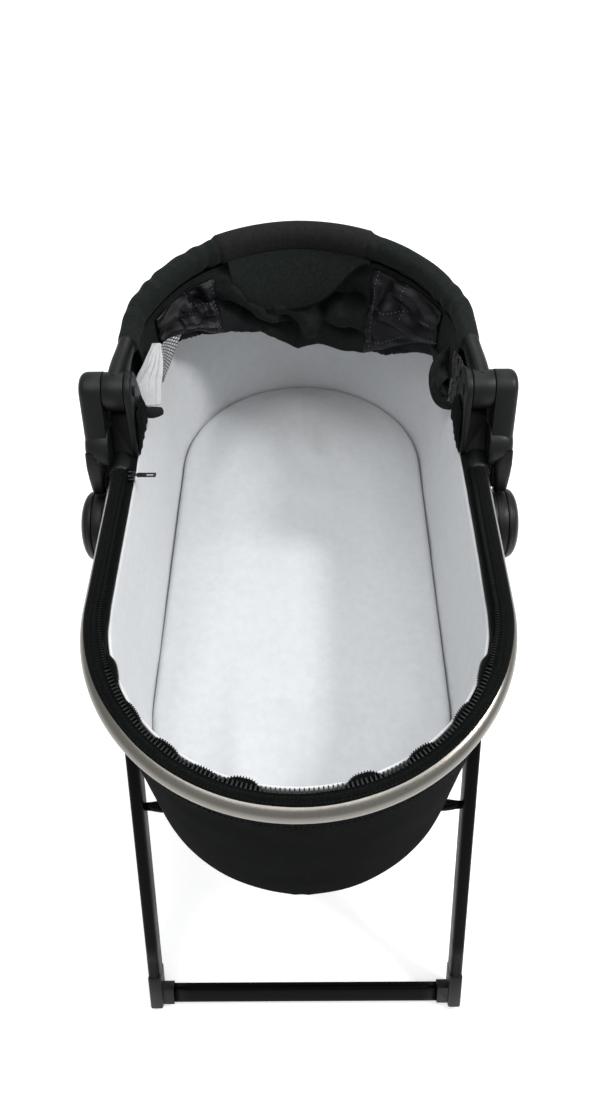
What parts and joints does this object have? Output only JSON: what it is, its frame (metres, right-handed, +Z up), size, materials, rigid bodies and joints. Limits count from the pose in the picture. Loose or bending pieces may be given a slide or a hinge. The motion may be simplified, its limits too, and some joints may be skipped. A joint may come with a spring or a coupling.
{
  "type": "bassinet on stand",
  "caption": "Pram-style bassinet with an aluminium rim, padded liner and fold-back canopy, clipped on a black folding A-frame stand.",
  "frame": {"origin": "on the floor under the middle of the object's box", "axes": "+X to the object's right seen from the foot end, +Y towards the head end with the canopy, +Z up"},
  "size_m": [0.504, 0.8249, 0.8435],
  "materials": {
    "black_paint": "satin",
    "black_plastic": "satin",
    "aluminium": "satin anodised",
    "steel": "polished",
    "rubber": "matte",
    "black_fabric": "woven",
    "white_fabric": "woven",
    "board": "matte"
  },
  "bodies": {
    "front_frame": {"front_floor_bar": "black_paint", "front_crossbar": "black_paint", "front_leg_l": "black_paint", "front_leg_r": "black_paint", "front_elbow_l": "black_plastic", "front_elbow_r": "black_plastic", "front_foot_l": "rubber", "front_foot_r": "rubber", "front_rivet_l": "steel", "front_rivet_r": "steel", "front_hub_l": "black_plastic", "front_hub_r": "black_plastic", "hub_cover_l": "black_plastic", "hub_cover_r": "black_plastic", "hinge_pin_l": "steel", "hinge_pin_r": "steel", "receiver_l": "black_plastic", "receiver_r": "black_plastic"},
    "rear_frame": {"rear_floor_bar": "black_paint", "rear_crossbar": "black_paint", "rear_leg_l": "black_paint", "rear_leg_r": "black_paint", "rear_elbow_l": "black_plastic", "rear_elbow_r": "black_plastic", "rear_foot_l": "rubber", "rear_foot_r": "rubber", "rear_rivet_l": "steel", "rear_rivet_r": "steel", "rear_hub_l": "black_plastic", "rear_hub_r": "black_plastic"},
    "fold_button_l": {"fold_button_l": "black_plastic"},
    "fold_button_r": {"fold_button_r": "black_plastic"},
    "carrycot": {"rim_foot_tube": "aluminium", "rim_head_tube": "aluminium", "side_housing_l": "black_plastic", "side_housing_r": "black_plastic", "side_cover_l": "black_plastic", "side_cover_r": "black_plastic", "canopy_pin_l": "steel", "canopy_pin_r": "steel", "outer_shell": "black_fabric", "liner": "white_fabric", "base_board": "board", "mattress": "white_fabric", "zip_band_foot": "black_fabric", "zip_band_head": "black_fabric"},
    "release_button_l": {"release_button_l": "black_plastic"},
    "release_button_r": {"release_button_r": "black_plastic"},
    "canopy": {"bow_tube": "aluminium", "handle_grip": "black_fabric", "bow_sleeve_l": "black_fabric", "bow_sleeve_r": "black_fabric", "bow_arm_l": "black_plastic", "bow_arm_r": "black_plastic", "canopy_panel": "black_fabric", "canopy_lining": "black_fabric", "visor_flap": "black_fabric"},
    "zip_slider": {"zip_slider": "steel"},
    "zip_pull": {"zip_pull": "steel"}
  },
  "joints": [
    {"name": "rear_frame_fold", "type": "hinge", "parent": "front_frame", "child": "rear_frame", "pos_m": [0, -0.0182, 0.6469], "axis": [1, 0, 0], "range_deg": [-58, 0]},
    {"name": "fold_button_l_press", "type": "slide", "parent": "front_frame", "child": "fold_button_l", "axis": [1, 0, 0], "range_m": [0, 0.002], "stiffness_N_per_m": 900},
    {"name": "fold_button_r_press", "type": "slide", "parent": "front_frame", "child": "fold_button_r", "axis": [-1, 0, 0], "range_m": [0, 0.002], "stiffness_N_per_m": 900},
    {"name": "carrycot_lift_off", "type": "slide", "parent": "front_frame", "child": "carrycot", "axis": [0, 0.412, 0.9112], "range_m": [0, 0.15]},
    {"name": "release_button_l_press", "type": "slide", "parent": "carrycot", "child": "release_button_l", "axis": [1, 0, 0], "range_m": [0, 0.0016], "stiffness_N_per_m": 900},
    {"name": "release_button_r_press", "type": "slide", "parent": "carrycot", "child": "release_button_r", "axis": [-1, 0, 0], "range_m": [0, 0.0016], "stiffness_N_per_m": 900},
    {"name": "canopy_fold", "type": "hinge", "parent": "carrycot", "child": "canopy", "pos_m": [0, 0.0479, 0.7931], "axis": [1, 0, 0], "range_deg": [0, 95], "deforming": ["canopy_panel", "canopy_lining"]},
    {"name": "zip_slider_travel", "type": "slide", "parent": "carrycot", "child": "zip_slider", "axis": [0, 1, 0], "range_m": [-0.15, 0.01]},
    {"name": "zip_pull_flip", "type": "hinge", "parent": "zip_slider", "child": "zip_pull", "pos_m": [-0.1808, -0.0186, 0.733], "axis": [0, -1, 0], "range_deg": [0, 100]}
  ]
}
